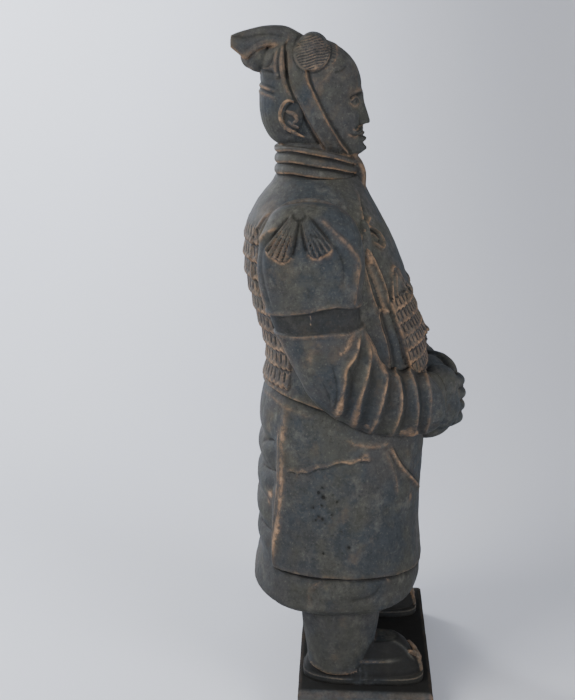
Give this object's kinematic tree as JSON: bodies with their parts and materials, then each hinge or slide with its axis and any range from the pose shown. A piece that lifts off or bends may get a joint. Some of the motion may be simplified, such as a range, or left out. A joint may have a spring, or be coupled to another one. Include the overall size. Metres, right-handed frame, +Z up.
{
  "type": "terracotta warrior statue",
  "caption": "Standing fired-clay warrior general with folded hands, curled cap, long robe and scale armour, on a low rectangular plinth.",
  "frame": {"origin": "middle of the plinth's underside", "axes": "+Z up, the figure faces -Y, its right side is towards -X"},
  "size_m": [0.1358, 0.1287, 0.3684],
  "materials": {
    "fired_clay": "satin smoked grey-black slip, worn to tan clay on the ridges",
    "plinth_clay": "satin smoked black slip, worn to tan clay on the edges"
  },
  "bodies": {
    "root": {"warrior_figure": "fired_clay", "base_slab": "plinth_clay"}
  },
  "joints": []
}
